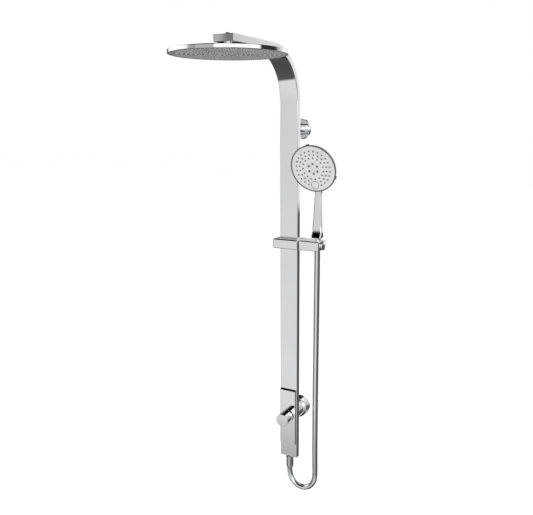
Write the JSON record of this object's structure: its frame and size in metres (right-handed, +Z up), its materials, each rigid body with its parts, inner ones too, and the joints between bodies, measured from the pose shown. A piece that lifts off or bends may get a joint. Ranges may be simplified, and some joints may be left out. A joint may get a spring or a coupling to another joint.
{
  "type": "rainfall shower column",
  "caption": "Wall-mounted shower column: flat bent riser with round overhead rose, sliding holder with handset on a smooth hose, and a knob diverter on the inlet axis.",
  "frame": {"origin": "centre of the upper wall plate's rear face, on the wall", "axes": "+X right along the wall, +Y into the wall, +Z up the riser"},
  "size_m": [0.2643, 0.475, 1.1902],
  "materials": {
    "chrome": "polished chrome plate",
    "plated_abs": "chrome plated ABS",
    "satin_face": "satin silver-grey face",
    "grey_silicone": "soft grey silicone",
    "brass": "machined brass",
    "steel": "bright stainless steel",
    "white_polymer": "natural white polymer",
    "dark_polymer": "dark moulded polymer",
    "rubber": "black sealing rubber",
    "hose_silver": "smooth silver metallised sleeve"
  },
  "bodies": {
    "column": {"riser_column": "chrome", "arm_end_cap": "chrome", "arm_outlet_block": "brass", "arm_top_plug": "chrome", "riser_water_tube": "white_polymer", "upper_wall_plate": "steel", "upper_post": "chrome", "upper_flange": "chrome", "upper_post_screw": "steel", "upper_grub_screw": "steel", "inlet_flange": "chrome", "inlet_barrel": "chrome", "inlet_union_nut": "brass", "inlet_connector": "brass", "inlet_washer": "rubber", "check_valve": "dark_polymer", "diverter_body": "brass", "diverter_cartridge": "white_polymer", "cartridge_nut": "brass", "cover_plate": "chrome", "knob_collar": "chrome", "foot_plug": "dark_polymer", "hose_outlet_nipple": "chrome", "hose_supply_tube": "white_polymer", "hose_lower_washer": "rubber", "hose_lower_nut": "chrome", "hose": "hose_silver"},
    "rose_stud": {"overhead_ball_stud": "chrome"},
    "rose": {"overhead_ball_nut": "chrome", "overhead_ball_seal": "rubber", "overhead_shell": "chrome", "overhead_face_plate": "satin_face", "overhead_nozzle_mat": "grey_silicone"},
    "diverter": {"diverter_knob": "chrome", "knob_grub_screw": "steel", "diverter_spindle": "brass"},
    "slider": {"slider_body": "chrome", "slider_glide_front": "white_polymer", "slider_glide_back": "white_polymer", "slider_tension_screw": "steel", "cradle_pivot_pin": "steel"},
    "holder": {"cradle": "chrome"},
    "tilt_knob": {"holder_knob": "chrome"},
    "handset": {"handset_body": "plated_abs", "handset_face_plate": "satin_face", "handset_nozzle_mat": "grey_silicone", "handset_badge": "plated_abs", "handset_inlet_nipple": "brass", "hose_upper_nut": "chrome", "hose_upper_washer": "rubber"},
    "spray_ring": {"handset_selector_ring": "plated_abs"}
  },
  "joints": [
    {"name": "rose_swivel", "type": "hinge", "parent": "column", "child": "rose_stud", "pos_m": [0, -0.35, 0.1665], "axis": [0, 0, 1], "range_deg": [-180, 180]},
    {"name": "rose_tilt", "type": "hinge", "parent": "rose_stud", "child": "rose", "pos_m": [0, -0.35, 0.1665], "axis": [1, 0, 0], "range_deg": [-6, 6]},
    {"name": "diverter_turn", "type": "hinge", "parent": "column", "child": "diverter", "pos_m": [0, -0.09, -0.773], "axis": [0, -1, 0], "range_deg": [-90, 90]},
    {"name": "slider_height", "type": "slide", "parent": "column", "child": "slider", "axis": [0, 0, 1], "range_m": [-0.38, 0.1], "deforming": ["hose"]},
    {"name": "holder_tilt", "type": "hinge", "parent": "slider", "child": "holder", "pos_m": [0.0359, -0.069, -0.29], "axis": [1, 0, 0], "range_deg": [0, 30], "deforming": ["hose"]},
    {"name": "tilt_knob_turn", "type": "hinge", "parent": "holder", "child": "tilt_knob", "pos_m": [0.0928, -0.069, -0.29], "axis": [1, 0, 0], "range_deg": [0, 90]},
    {"name": "handset_lift", "type": "slide", "parent": "holder", "child": "handset", "axis": [0, 0, 1], "range_m": [0, 0.06], "deforming": ["hose"]},
    {"name": "spray_ring_turn", "type": "hinge", "parent": "handset", "child": "spray_ring", "pos_m": [0.0785, -0.0995, -0.0952], "axis": [0, -0.9511, -0.309], "range_deg": [-40, 40]}
  ]
}
